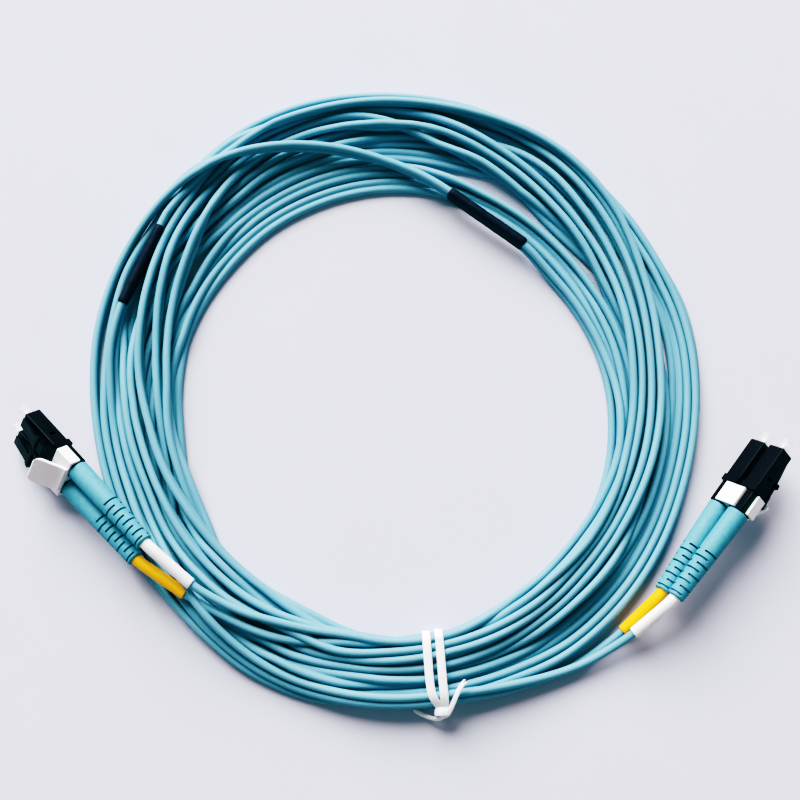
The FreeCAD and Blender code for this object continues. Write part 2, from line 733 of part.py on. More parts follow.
pieces.append(bridge)
for name, start, stop in (("tie_tail0", (9.6, -76.2, 2.6), (3.6, -77.9, 1.3)),
                          ("tie_tail1", (9.6, -76.2, 2.6), (17.0, -77.0, 4.6))):
    a, b = shifted(start), shifted(stop)
    along = (b - a).normalize()
    side = Vector(0, 0, 1).cross(along).normalize()
    up = along.cross(side)
    tail = prism(name, "Box", Length=(b - a).Length, Width="tie_wall", Height="tie_width")
    corner = a - side * (VALUE["tie_wall"] / 2) - up * (VALUE["tie_width"] / 2)
    tail.Placement = Placement(corner, Rotation(along, side, up, "XYZ"))
    pieces.append(tail)
tie = fuse("coil_tie", pieces)
tie.Label = "coil_tie"
finish(tie)

doc.recompute()
for thing in doc.Objects:
    bad = [s for s in thing.State if s in ("Invalid", "Error")]
    if bad:
        raise RuntimeError("%s is %s" % (thing.Name, bad))
box = None
for piece in FINISHED:
    if piece.Shape.isNull() or not piece.Shape.isValid():
        raise RuntimeError("bad shape: " + piece.Label)
    b = piece.Shape.BoundBox
    if box is None:
        box = FreeCAD.BoundBox(b.XMin, b.YMin, b.ZMin, b.XMax, b.YMax, b.ZMax)
    else:
        box.add(b)
    piece.Shape.exportStep("parts/%s.step" % piece.Label)
print(len(FINISHED), "pieces, box x %.2f..%.2f y %.2f..%.2f z %.3f..%.2f" % (
    box.XMin, box.XMax, box.YMin, box.YMax, box.ZMin, box.ZMax))
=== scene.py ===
import json
import math

import bmesh
import bpy
import numpy as np
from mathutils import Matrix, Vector


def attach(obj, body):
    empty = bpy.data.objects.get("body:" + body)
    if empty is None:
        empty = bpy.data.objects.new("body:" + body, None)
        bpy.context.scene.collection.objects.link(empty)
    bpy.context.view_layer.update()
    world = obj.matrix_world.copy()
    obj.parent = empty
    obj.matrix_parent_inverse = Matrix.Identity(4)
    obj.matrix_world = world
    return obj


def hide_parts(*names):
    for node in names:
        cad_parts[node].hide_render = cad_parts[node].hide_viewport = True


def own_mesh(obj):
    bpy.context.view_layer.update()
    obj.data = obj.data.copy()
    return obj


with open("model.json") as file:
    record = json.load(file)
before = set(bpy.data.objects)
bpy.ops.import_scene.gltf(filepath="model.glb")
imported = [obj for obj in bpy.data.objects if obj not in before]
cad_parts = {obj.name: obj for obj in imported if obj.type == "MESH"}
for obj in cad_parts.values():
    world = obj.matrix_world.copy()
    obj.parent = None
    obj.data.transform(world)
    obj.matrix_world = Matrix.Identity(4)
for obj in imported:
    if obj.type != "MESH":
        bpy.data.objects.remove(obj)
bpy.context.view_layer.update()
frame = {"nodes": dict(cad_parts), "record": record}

MM = 0.001
scene = bpy.context.scene
NODES = frame["nodes"]

# ------------------------------------------------------------------- camera
# Nearly straight down on the coil, tipped a little towards its tied side.
TILT, REACH = math.radians(13.0), 330.0
TARGET = Vector((0.758, -2.125, 3.0))
eye = TARGET - Vector((0.0, math.sin(TILT), -math.cos(TILT))) * REACH
cam_data = bpy.data.cameras.new("camera")
cam_data.lens = 58.21
cam_data.sensor_width = 36.0
cam_data.clip_start = 0.01
cam_data.clip_end = 20.0
camera = bpy.data.objects.new("camera", cam_data)
camera.location = eye * MM
camera.rotation_euler = (TILT, 0.0, 0.0)
scene.collection.objects.link(camera)
scene.camera = camera

# -------------------------------------------------------------------- cords
# Zip cord: x, y, z of its middle in millimetres and the lean of its two
# cores in degrees (90 = one core above the other, 0 = outer core level).
ZIP = (
    (24.15, 45.69, 4.78, 84), (19.66, 48.83, 5.16, 88), (9.17, 56.83, 5.12, 87), (-2.24, 62.50, 4.17, 91),
    (-14.73, 65.58, 5.31, 80), (-27.52, 66.13, 6.63, 78), (-40.14, 64.08, 8.43, 100), (-52.18, 59.24, 8.93, 136),
    (-61.97, 51.13, 5.56, 105), (-69.40, 40.90, 3.04, 93), (-74.69, 29.17, 1.98, 88), (-77.61, 16.62, 2.07, 89),
    (-77.97, 3.76, 2.03, 90), (-76.42, -9.00, 2.04, 91), (-73.46, -21.51, 2.04, 90), (-68.76, -33.47, 2.04, 92),
    (-62.55, -44.74, 2.04, 89), (-54.28, -54.60, 2.52, 92), (-44.60, -63.13, 1.78, 62), (-33.94, -70.16, 1.78, 6),
    (-21.72, -75.23, 0.94, 3), (-8.96, -76.75, 2.43, 70), (3.72, -77.11, 2.49, 88), (16.48, -75.54, 2.45, 96),
    (28.85, -71.90, 1.93, 106), (40.61, -66.76, 2.14, 92), (50.84, -58.79, 2.06, 91), (59.59, -49.32, 2.03, 96),
    (66.44, -38.40, 2.04, 95), (71.49, -26.58, 2.02, 102), (74.94, -14.17, 2.02, 100), (76.69, -1.42, 2.01, 105),
    (76.49, 11.44, 1.94, 115), (73.84, 24.09, 1.89, 124), (68.19, 35.66, 2.00, 105), (61.29, 46.50, 2.09, 78),
    (53.19, 56.48, 2.01, 89), (43.82, 65.32, 2.05, 76), (33.22, 72.61, 2.05, 104), (21.51, 77.97, 2.02, 92),
    (9.02, 81.06, 2.04, 88), (-3.80, 82.21, 2.04, 91), (-16.63, 81.39, 2.04, 91), (-29.11, 78.15, 2.04, 88),
    (-40.67, 72.41, 2.02, 91), (-50.62, 64.19, 2.05, 95), (-58.50, 54.02, 2.01, 98), (-65.70, 43.32, 2.01, 110),
    (-71.14, 31.65, 2.06, 87), (-73.60, 18.94, 2.00, 76), (-74.53, 6.11, 1.93, 64), (-74.50, -6.74, 1.99, 74),
    (-71.99, -19.38, 2.06, 93), (-67.39, -31.38, 2.37, 90), (-60.91, -42.46, 2.01, 90), (-52.37, -52.07, 2.04, 92),
    (-43.00, -61.14, 2.01, 79), (-32.07, -67.79, 2.03, 85), (-19.90, -72.35, 2.00, 80), (-7.37, -74.95, 2.22, 72),
    (5.50, -75.04, 2.76, 87), (18.19, -73.09, 2.54, 98), (30.46, -69.21, 1.99, 104), (41.97, -63.42, 2.04, 90),
    (51.84, -55.04, 2.04, 93), (60.09, -45.17, 2.04, 96), (66.40, -33.87, 2.03, 97), (70.93, -21.85, 2.02, 103),
    (73.75, -9.28, 2.02, 100), (74.84, 3.52, 1.99, 110), (73.74, 16.38, 1.92, 119), (69.67, 28.58, 1.93, 123),
    (63.21, 39.73, 2.15, 87), (55.34, 49.87, 1.51, 21), (45.78, 58.43, 0.99, 0), (35.32, 65.95, 1.01, 0),
    (23.80, 71.68, 1.00, -1), (10.97, 73.62, 1.09, 2), (-1.84, 73.88, 1.00, -4), (-14.37, 70.82, 1.30, 16),
    (-26.55, 66.91, 2.30, 83), (-37.64, 60.27, 2.15, 95), (-47.63, 52.08, 1.81, 125), (-56.00, 42.34, 2.35, 109),
    (-62.80, 31.30, 1.41, 9), (-66.24, 19.02, 0.92, 1), (-67.13, 6.20, 1.43, -1), (-68.01, -6.71, 0.94, 2),
    (-67.73, -19.66, 1.14, -5), (-63.92, -31.89, 1.66, 46), (-57.78, -43.42, 3.47, 121), (-47.21, -50.26, 4.85, 55),
    (-37.66, -58.32, 1.53, 47), (-27.33, -66.34, 1.13, -17), (-15.30, -70.73, 1.65, 44), (-2.38, -71.71, 2.75, 109),
    (10.45, -70.89, 2.36, 123), (22.77, -67.04, 2.22, 117), (34.13, -61.24, 3.57, 98), (44.29, -53.30, 4.57, 88),
    (52.96, -43.65, 4.66, 64), (59.00, -32.43, 2.47, 61), (62.69, -20.21, 1.53, 34), (64.55, -7.34, 1.20, 4),
    (63.25, 5.47, 1.11, -12), (58.30, 17.47, 1.54, 42), (53.50, 29.16, 3.55, 89), (48.03, 40.74, 4.94, 99),
    (40.46, 51.12, 4.20, 106), (31.02, 59.95, 4.03, 87), (20.48, 67.20, 4.04, 87), (8.58, 72.36, 5.95, 121),
    (-4.31, 72.34, 5.45, 75), (-17.30, 72.75, 4.17, 116), (-29.35, 68.89, 2.59, 91), (-40.12, 61.52, 3.43, 92),
    (-48.06, 51.61, 6.02, 118), (-52.83, 39.59, 6.11, 70), (-56.84, 27.44, 4.65, 72), (-59.23, 14.83, 4.42, 103),
    (-58.79, 2.05, 4.70, 102), (-57.55, -10.79, 4.17, 70), (-53.21, -22.83, 3.89, 33), (-48.29, -34.44, 1.11, 6),
    (-43.33, -46.24, 1.19, 11), (-34.39, -55.46, 2.53, 58), (-24.65, -63.61, 4.08, 42), (-12.14, -67.42, 4.85, 96),
    (0.65, -67.78, 5.74, 99), (13.43, -65.93, 5.45, 118), (25.54, -61.52, 6.06, 97), (36.45, -54.54, 5.15, 93),
    (45.77, -45.75, 4.39, 90), (53.32, -35.27, 4.56, 74), (59.69, -24.14, 4.77, 90), (63.57, -11.80, 4.69, 94),
    (64.90, 1.04, 4.03, 89), (64.69, 13.90, 4.14, 94), (62.76, 26.60, 4.04, 92), (58.64, 38.80, 4.07, 88),
    (52.63, 50.14, 4.07, 89), (44.91, 60.52, 4.31, 110), (35.29, 68.92, 2.86, 118), (23.85, 74.82, 1.94, 92),
    (11.55, 78.57, 2.14, 88), (-1.24, 80.07, 2.01, 91), (-14.08, 79.69, 2.04, 90), (-26.70, 76.89, 2.18, 91),
    (-38.25, 71.37, 1.95, 84), (-48.47, 63.44, 2.38, 110), (-55.31, 52.59, 4.18, 123), (-60.56, 40.85, 4.61, 82),
    (-64.35, 28.70, 6.14, 97), (-65.78, 15.90, 6.74, 86), (-65.62, 3.05, 5.71, 88), (-62.44, -9.37, 6.38, 94),
    (-57.90, -21.43, 6.84, 85), (-50.85, -32.17, 5.79, 75), (-42.89, -41.90, 3.42, 86), (-32.99, -50.01, 2.31, 85),
    (-22.15, -56.61, 2.15, 33), (-10.45, -62.37, 1.07, 20), (2.21, -64.51, 3.21, 61), (15.04, -62.21, 2.54, 51),
    (26.73, -57.13, 1.70, 56), (37.09, -49.09, 2.62, 109), (46.03, -39.92, 1.92, 115), (52.46, -28.72, 1.85, 125),
    (56.29, -16.41, 2.02, 104), (57.84, -3.69, 2.08, 57), (56.50, 9.20, 1.94, 62), (51.78, 21.14, 1.79, 43),
    (45.12, 32.13, 0.98, -1), (36.76, 41.86, 1.03, 0), (26.38, 49.50, 1.02, 0), (14.80, 55.09, 1.02, 0),
    (2.09, 57.46, 1.02, 0), (-10.74, 56.42, 1.02, 0), (-23.00, 52.43, 1.03, 0), (-34.19, 46.05, 1.00, -1),
    (-43.35, 37.03, 1.14, 3), (-50.67, 26.45, 1.79, 43), (-55.30, 14.53, 2.23, 73), (-57.55, 1.82, 1.28, 11),
    (-56.28, -10.85, 1.18, -5), (-54.43, -23.58, 1.35, 26), (-51.86, -35.87, 3.20, 109), (-42.36, -45.23, 5.16, 88),
    (-32.52, -53.00, 1.70, 47), (-22.27, -60.80, 2.21, 33), (-10.25, -65.52, 1.84, 81), (2.65, -66.29, 2.50, 46),
    (15.39, -64.24, 2.27, 56), (27.30, -59.23, 1.98, 59), (38.03, -51.94, 2.10, 161), (47.43, -43.49, 1.84, 162),
    (54.88, -32.75, 1.22, 226), (59.18, -20.62, 2.46, 33), (60.29, -7.73, 1.01, -21), (59.54, 5.14, 1.68, 45),
    (56.02, 17.51, 2.11, 65), (50.50, 29.17, 2.06, 106), (42.82, 39.48, 1.96, 115), (33.25, 48.10, 1.97, 112),
    (22.30, 54.84, 2.00, 110), (10.39, 59.82, 2.23, 77), (-2.32, 61.82, 1.05, 0), (-15.13, 60.03, 0.98, 0),
    (-27.15, 55.40, 1.10, 1), (-37.94, 48.35, 1.07, -2), (-46.84, 39.01, 1.84, 53), (-52.96, 27.70, 2.07, 70),
    (-57.83, 15.87, 0.94, -12), (-61.16, 3.55, 1.24, 11), (-62.00, -9.23, 2.35, 60), (-60.49, -22.16, 1.68, 69),
    (-55.95, -34.06, 3.75, 52), (-48.40, -44.44, 3.44, 67), (-40.10, -53.89, 2.20, 84), (-29.32, -61.06, 1.63, 38),
    (-17.29, -65.94, 1.17, 1), (-4.92, -68.92, 1.21, -1), (8.05, -68.80, 1.57, 1), (20.37, -65.14, 1.37, -1),
    (32.14, -59.72, 0.93, 2), (43.14, -53.37, 1.17, -4), (52.69, -44.47, 1.71, 38), (60.32, -34.27, 1.91, 64),
    (65.22, -22.12, 1.92, 60), (68.12, -9.74, 1.93, 58), (67.95, 3.26, 1.36, 12), (65.42, 15.79, 0.96, -4),
    (59.30, 27.21, 1.15, 4), (50.71, 36.74, 1.00, -8), (41.54, 45.83, 1.53, 34), (32.55, 54.74, 3.17, 93),
    (22.21, 62.36, 4.46, 73), (10.77, 67.84, 3.93, 117), (-1.10, 73.85, 4.43, 93), (-13.55, 75.90, 3.83, 80),
    (-26.19, 72.66, 2.01, 90), (-37.49, 66.84, 2.12, 90), (-47.15, 58.28, 1.94, 96), (-54.65, 47.90, 4.12, 96),
    (-59.63, 36.43, 6.68, 114), (-61.31, 23.48, 5.41, 78), (-61.97, 10.70, 4.28, 93), (-60.50, -2.15, 4.82, 81),
    (-58.96, -14.75, 2.39, 90), (-56.35, -27.23, 2.92, 93), (-53.64, -39.86, 1.14, 9), (-47.58, -51.24, 1.03, -14),
    (-39.70, -61.33, 2.07, 74), (-28.62, -67.60, 4.81, 78), (-16.12, -71.54, 4.77, 11), (-3.37, -72.73, 4.79, -53),
    (9.50, -72.42, 3.69, -64), (22.01, -69.68, 2.77, -50), (33.98, -64.91, 1.88, -39), (44.53, -57.46, 1.05, 2),
    (53.86, -48.61, 0.99, -1), (61.09, -37.90, 1.07, 0), (66.51, -26.27, 1.00, 0), (69.93, -13.81, 1.04, 0),
    (71.93, -1.11, 0.98, 0), (71.83, 11.74, 1.05, 0), (68.90, 24.32, 1.03, 0), (62.48, 35.49, 0.99, 0),
    (54.14, 45.25, 1.05, 0), (44.64, 53.95, 1.00, 0), (32.96, 59.50, 1.00, 0), (20.34, 62.05, 1.00, 0),
    (7.83, 64.94, 1.13, 0), (-4.95, 66.01, 1.02, -1), (-17.73, 64.04, 1.02, 1), (-29.46, 59.09, 1.07, -3),
    (-40.30, 52.03, 1.04, 7), (-48.67, 42.46, 1.56, -32), (-58.45, 33.80, 2.54, 34), (-64.69, 22.80, 2.98, 9),
    (-67.47, 10.04, 4.22, 44), (-67.65, -2.70, 4.44, 108), (-64.01, -15.05, 5.48, 100), (-58.91, -26.75, 6.79, 90),
    (-52.16, -37.74, 6.27, 78), (-43.69, -47.39, 5.50, 93), (-33.29, -54.98, 5.73, 99), (-21.15, -59.14, 5.38, 91),
    (-8.76, -62.49, 3.29, 33), (4.00, -63.71, 4.21, 59), (16.73, -60.84, 3.60, 54), (28.23, -55.50, 5.74, 96),
    (38.28, -47.47, 6.78, 85), (47.20, -38.16, 6.03, 67), (53.90, -27.28, 6.09, 84), (58.11, -15.06, 5.02, 96),
    (60.24, -2.44, 4.82, 96), (60.10, 10.45, 5.92, 104), (58.51, 23.24, 5.27, 113), (53.85, 35.26, 4.05, 97),
    (47.27, 46.29, 3.39, 90), (38.89, 56.05, 4.06, 82), (29.00, 64.18, 4.98, 82), (18.21, 71.22, 5.35, 90),
    (6.65, 76.68, 3.46, 101), (-6.11, 78.21, 1.97, 90), (-18.91, 76.81, 2.09, 90), (-31.19, 72.95, 2.00, 89),
    (-42.09, 66.05, 2.85, 87), (-51.22, 56.94, 1.72, 127), (-59.62, 47.34, 1.14, 198), (-66.70, 36.61, 2.46, 103),
    (-69.60, 24.09, 1.02, -9), (-70.25, 11.24, 2.26, 83), (-69.66, -1.49, 4.15, 105), (-66.84, -13.99, 4.19, 89),
    (-62.07, -25.87, 4.36, 95), (-56.59, -37.52, 4.42, 91), (-48.66, -47.69, 6.24, 112), (-38.07, -54.88, 6.42, 79),
    (-26.36, -60.07, 6.17, 81), (-14.47, -65.49, 6.32, 76), (-1.52, -65.84, 5.78, 105), (11.26, -64.61, 5.61, 127),
    (23.44, -60.22, 6.05, 101), (34.50, -53.69, 6.47, 90), (43.75, -44.68, 4.75, 92), (51.49, -34.61, 4.54, 74),
    (57.35, -23.04, 4.74, 88), (61.24, -10.59, 4.67, 99), (62.52, 2.00, 4.50, 94), (62.18, 14.85, 4.54, 96),
    (59.38, 27.45, 4.19, 89), (54.80, 39.49, 3.90, 90), (48.20, 50.51, 4.30, 94), (39.87, 60.35, 3.74, 75),
    (28.87, 66.96, 2.25, 44), (16.03, 68.48, 1.13, 6), (3.33, 70.03, 0.99, 0), (-9.47, 69.12, 2.30, 70),
    (-21.90, 66.07, 1.94, 77), (-33.72, 60.69, 2.19, 96), (-43.26, 52.41, 2.00, 113), (-53.18, 43.70, 2.10, 123),
    (-56.77, 31.23, 2.32, 78), (-60.77, 19.06, 1.50, 3), (-64.78, 6.84, 2.29, 54), (-64.61, -5.99, 1.75, 43),
    (-63.67, -18.85, 1.00, -4), (-60.21, -31.08, 1.72, 4), (-55.54, -42.97, 1.89, 86), (-48.82, -53.81, 4.42, 105),
    (-37.23, -60.11, 5.03, 120), (-25.89, -66.00, 4.08, 76), (-13.29, -69.03, 4.12, 93), (-0.43, -69.67, 4.28, 81),
    (12.37, -68.24, 4.16, 68), (24.59, -64.06, 4.00, 74), (35.68, -57.54, 4.26, 90), (45.51, -49.12, 4.09, 93),
    (53.29, -38.91, 4.50, 75), (60.01, -27.84, 5.57, 84), (64.65, -15.84, 5.32, 84), (67.25, -3.28, 4.13, 92),
    (67.19, 9.69, 4.21, 91), (66.02, 22.48, 3.92, 92), (62.71, 34.86, 4.21, 82), (57.96, 46.80, 4.91, 59),
    (50.87, 57.52, 5.34, 66), (41.46, 66.38, 5.91, 83), (30.22, 72.63, 6.26, 101), (17.86, 76.28, 6.05, 87),
    (5.24, 78.76, 5.97, 94), (-7.62, 79.06, 6.05, 97), (-20.33, 76.98, 6.01, 97), (-32.52, 72.90, 6.09, 98),
    (-44.01, 66.88, 5.80, 173), (-53.27, 57.88, 5.32, 143), (-60.33, 47.25, 5.43, 82), (-65.44, 35.08, 5.46, 106),
    (-67.72, 30.09, 5.41, 100),
)

# The four single legs, from inside the boot to inside the sleeve.
LEGS = {
    "left_upper": (
        (-65.71, -34.64, 12.68), (-62.81, -37.63, 13.23), (-59.98, -40.54, 13.76), (-56.27, -43.75, 12.77), (-52.35, -47.14, 11.72),
        (-48.56, -50.42, 10.70), (-38.26, -55.88, 9.48), (-29.34, -58.27, 9.06), (-20.76, -60.28, 7.84), (-11.88, -61.34, 7.16),
        (-3.06, -63.07, 7.00), (5.73, -62.82, 6.58), (14.66, -60.97, 6.61), (22.48, -56.90, 6.75), (29.45, -51.74, 4.35),
        (36.52, -46.53, 2.88), (42.59, -39.88, 3.68), (47.99, -32.83, 4.26), (52.54, -25.08, 4.73), (55.85, -16.79, 5.03),
        (56.82, -7.84, 4.92), (56.13, 0.99, 3.64), (53.69, 9.57, 2.69), (49.97, 17.71, 2.94), (45.37, 25.43, 2.80),
        (39.64, 32.20, 3.37), (33.60, 38.81, 5.25), (26.79, 43.97, 5.66), (22.92, 46.72, 5.86),
    ),
    "left_lower": (
        (-68.43, -38.10, 8.24), (-65.53, -41.08, 8.79), (-62.69, -44.00, 9.32), (-58.69, -46.73, 8.81), (-54.46, -49.62, 8.27),
        (-50.34, -52.44, 7.74), (-39.92, -58.09, 7.71), (-31.34, -61.60, 7.33), (-22.78, -63.13, 6.14), (-14.00, -62.88, 6.58),
        (-5.16, -63.61, 5.93), (3.56, -62.03, 4.95), (12.62, -61.30, 4.93), (20.73, -57.35, 5.03), (28.19, -52.99, 2.89),
        (35.48, -48.10, 1.03), (41.89, -41.69, 1.01), (47.41, -34.63, 0.99), (51.51, -26.58, 1.00), (54.04, -17.96, 1.00),
        (55.00, -9.00, 1.00), (54.80, -0.01, 1.01), (52.94, 8.81, 0.99), (49.58, 17.14, 1.05), (44.98, 24.93, 0.96),
        (39.29, 31.78, 1.41), (33.43, 38.63, 3.22), (26.62, 43.85, 3.63), (22.72, 46.59, 3.84),
    ),
    "right_lower": (
        (69.04, -44.96, 6.44), (66.59, -48.37, 6.56), (64.20, -51.70, 6.68), (61.05, -54.76, 5.21), (57.73, -57.98, 3.66),
        (54.44, -61.18, 2.17), (44.84, -68.05, 0.68), (36.04, -71.75, 1.79), (27.01, -74.30, 3.67), (18.04, -76.04, 5.06),
        (8.97, -77.34, 5.26), (-0.18, -77.93, 5.22), (-9.34, -77.37, 4.92), (-18.29, -75.76, 3.68), (-27.02, -73.02, 2.88),
        (-35.21, -68.87, 3.32), (-42.49, -63.36, 4.16), (-49.16, -57.06, 4.62), (-54.71, -49.77, 5.04), (-59.58, -41.99, 5.42),
        (-63.72, -33.83, 4.85), (-67.21, -25.44, 3.56), (-70.37, -16.91, 2.37), (-72.37, -7.95, 2.32), (-73.13, 1.07, 3.85),
        (-73.60, 10.13, 5.29), (-71.97, 19.15, 6.17), (-68.74, 27.99, 6.47), (-65.08, 35.98, 6.42), (-63.19, 40.45, 6.44),
    ),
    "right_upper": (
        (71.59, -46.89, 10.16), (68.98, -50.17, 10.04), (66.43, -53.38, 9.92), (63.25, -56.06, 8.36), (59.90, -58.89, 6.72),
        (56.53, -61.72, 5.07), (46.62, -67.79, 2.91), (37.67, -70.89, 3.54), (28.49, -72.99, 5.07), (19.46, -74.50, 6.40),
        (10.43, -75.53, 6.38), (1.34, -76.36, 6.44), (-7.75, -75.97, 6.26), (-16.67, -74.43, 5.03), (-25.38, -71.81, 4.53),
        (-33.57, -67.75, 4.90), (-40.75, -62.40, 6.52), (-47.03, -56.11, 8.72), (-52.32, -48.71, 8.04), (-56.99, -41.23, 5.68),
        (-61.24, -33.46, 3.52), (-64.83, -25.11, 2.89), (-68.13, -16.59, 3.16), (-70.39, -7.81, 2.42), (-71.95, 1.12, 1.68),
        (-72.53, 10.19, 3.04), (-71.57, 19.25, 4.01), (-68.79, 28.08, 4.46), (-64.93, 35.96, 4.41), (-63.18, 40.44, 4.40),
    ),
}

# How far along its leg each marker sleeve reaches.
MARKER_TO = {"left_upper": 22.2, "left_lower": 21.9, "right_lower": 21.1, "right_upper": 20.6}

# Middle line and lean of the two shrunk sleeves at the splits.
SLEEVES = {
    "left": (
        (33.16, 39.17, 4.30, 84), (30.02, 41.44, 4.47, 84), (26.89, 43.71, 4.63, 84), (23.20, 46.36, 4.85, 84),
        (20.06, 48.61, 5.04, 85), (16.95, 50.91, 5.12, 86), (13.86, 53.24, 5.13, 88),
    ),
    "right": (
        (-61.77, 43.66, 5.40, 97), (-63.34, 40.07, 5.43, 98), (-64.85, 36.53, 5.49, 98), (-66.38, 33.08, 5.44, 99),
        (-67.91, 29.66, 5.40, 101), (-69.41, 26.24, 5.39, 101), (-70.84, 22.79, 5.39, 102),
    ),
}


def line_curve(name, table, steps):
    """Curve whose control points are the table's, and the points along it."""
    data = bpy.data.curves.new(name, "CURVE")
    data.dimensions = "3D"
    data.resolution_u = steps
    spline = data.splines.new("NURBS")
    spline.points.add(len(table) - 1)
    for point, row in zip(spline.points, table):
        point.co = (row[0] * MM, row[1] * MM, row[2] * MM, 1.0)
    spline.order_u = 3
    spline.use_endpoint_u = True
    obj = bpy.data.objects.new(name, data)
    scene.collection.objects.link(obj)
    mesh = bpy.data.meshes.new_from_object(obj)
    points = np.array([v.co[:] for v in mesh.vertices])
    bpy.data.meshes.remove(mesh)
    return obj, points


def carried(values, count):
    """A number given at each control point, at evenly spaced parameters."""
    n = len(values)
    knots = np.concatenate([np.zeros(3), np.arange(1, n - 2), np.full(3, n - 2)])
    middle = (knots[1:n + 1] + knots[2:n + 2]) / 2
    return np.interp(np.linspace(0, n - 2, count), middle, values)


def axes_along(points):
    """Unit direction, outward side and upward normal at each point."""
    along = np.gradient(points, axis=0)
    along /= np.linalg.norm(along, axis=1)[:, None]
    side = np.stack([along[:, 1], -along[:, 0], np.zeros(len(along))], 1)
    side /= np.linalg.norm(side, axis=1)[:, None]
    return along, side, np.cross(side, along)


def distances(points):
    return np.concatenate([[0.0], np.cumsum(np.linalg.norm(np.diff(points, axis=0), axis=1))])


def at_distance(points, where):
    d = distances(points)
    return np.stack([np.interp(where, d, points[:, k]) for k in range(3)], 1)


def skin(name, rings, where):
    """Closed mesh over a row of rings, with a map of round and along."""
    n, m = rings.shape[:2]
    verts = rings.reshape(-1, 3)
    faces = []
    for i in range(n - 1):
        for j in range(m):
            k = (j + 1) % m
            faces.append((i * m + j, i * m + k, (i + 1) * m + k, (i + 1) * m + j))
    faces.append(tuple(range(m - 1, -1, -1)))
    faces.append(tuple((n - 1) * m + j for j in range(m)))
    mesh = bpy.data.meshes.new(name)
    mesh.from_pydata(verts.tolist(), [], faces)
    uv = mesh.uv_layers.new(name="along")
    spots = np.zeros((len(mesh.loops), 2))
    k = 0
    for i in range(n - 1):
        for j in range(m):
            spots[k:k + 4] = ((j / m, where[i]), ((j + 1) / m, where[i]),
                              ((j + 1) / m, where[i + 1]), (j / m, where[i + 1]))
            k += 4
    uv.data.foreach_set("uv", spots.ravel())
    mesh.validate()
    bm = bmesh.new()
    bm.from_mesh(mesh)
    bmesh.ops.recalc_face_normals(bm, faces=bm.faces)
    bm.to_mesh(mesh)
    bm.free()
    mesh.shade_smooth()
    obj = bpy.data.objects.new(name, mesh)
    scene.collection.objects.link(obj)
    return obj


def twin_outline(radius, apart, neck, per=11, reach=150.0):
    """Outline of two round cores joined by a thin web."""
    out = []
    for turned in (0.0, math.pi):
        c, s = math.cos(turned), math.sin(turned)
        for a in np.radians(np.linspace(-reach, reach, per)):
            x, y = apart + radius * math.cos(a), radius * math.sin(a)
            out.append((c * x - s * y, s * x + c * y))
        out.append((-s * neck, c * neck))
    return np.array(out)


def oval_outline(radius, apart, per=14):
    """Outline of a sleeve drawn tight over two round cores."""
    out = []
    for turned in (0.0, math.pi):
        c, s = math.cos(turned), math.sin(turned)
        for a in np.radians(np.linspace(-90, 90, per)):
            x, y = apart + radius * math.cos(a), radius * math.sin(a)
            out.append((c * x - s * y, s * x + c * y))
    return np.array(out)


def leaned(points, lean, outline, scale=None):
    """Rings of an outline round a line, leaned by the given degrees."""
    along, side, up = axes_along(points)
    a = np.radians(lean)[:, None]
    u = np.cos(a) * side + np.sin(a) * up
    v = -np.sin(a) * side + np.cos(a) * up
    if scale is None:
        scale = np.ones(len(points))
    o = outline[None] * scale[:, None, None] * MM
    return points[:, None] + o[..., :1] * u[:, None] + o[..., 1:] * v[:, None]


zip_line, zip_points = line_curve("zip_line", ZIP, 6)
bpy.data.objects.remove(zip_line)
zip_lean = carried([row[3] for row in ZIP], len(zip_points))
zip_cord = skin("zip_cord", leaned(zip_points, zip_lean, twin_outline(1.0, 1.025, 0.3)),
                distances(zip_points))

leg_objs, leg_points, marker_objs = {}, {}, {}
for tag, table in LEGS.items():
    leg, points = line_curve("leg_cord_" + tag, table, 8)
    leg.data.bevel_depth = 1.0 * MM
    leg.data.bevel_resolution = 5
    leg.data.use_fill_caps = True
    leg_objs[tag], leg_points[tag] = leg, points


def collar(name, points, start, stop, profile, sides=28):
    """Sleeve round a line: profile is (distance from the nearer end, radius)."""
    spots, radii = [], []
    for d, r in profile:
        spots.append(start + d)
        radii.append(r)
    inner = np.arange(start + profile[-1][0], stop - profile[-1][0], 0.6 * MM)[1:-1]
    for s in inner:
        wave = 0.012 * math.sin(s / MM * 1.9) + 0.008 * math.sin(s / MM * 4.3 + 1.0)
        spots.append(s)
        radii.append(profile[-1][1] + wave * MM)
    for d, r in reversed(profile):
        spots.append(stop - d)
        radii.append(r)
    spots, radii = np.array(spots), np.array(radii)
    fine = np.arange(max(0.0, start - 1 * MM), stop + 1 * MM, 0.2 * MM)
    fine_points = at_distance(points, fine)
    _, side_f, up_f = axes_along(fine_points)
    middle = at_distance(points, spots)
    side = np.stack([np.interp(spots, fine, side_f[:, k]) for k in range(3)], 1)
    up = np.stack([np.interp(spots, fine, up_f[:, k]) for k in range(3)], 1)
    a = np.linspace(0, 2 * math.pi, sides, endpoint=False)
    ring = np.cos(a)[None, :, None] * side[:, None] + np.sin(a)[None, :, None] * up[:, None]
    return skin(name, middle[:, None] + ring * radii[:, None, None], spots)


for tag, points in leg_points.items():
    rim = ((0.0, 1.0 * MM), (0.0, 1.36 * MM), (0.07 * MM, 1.44 * MM), (0.2 * MM, 1.47 * MM))
    marker_objs[tag] = collar("marker_" + tag, points, 3.0 * MM, MARKER_TO[tag] * MM, rim)

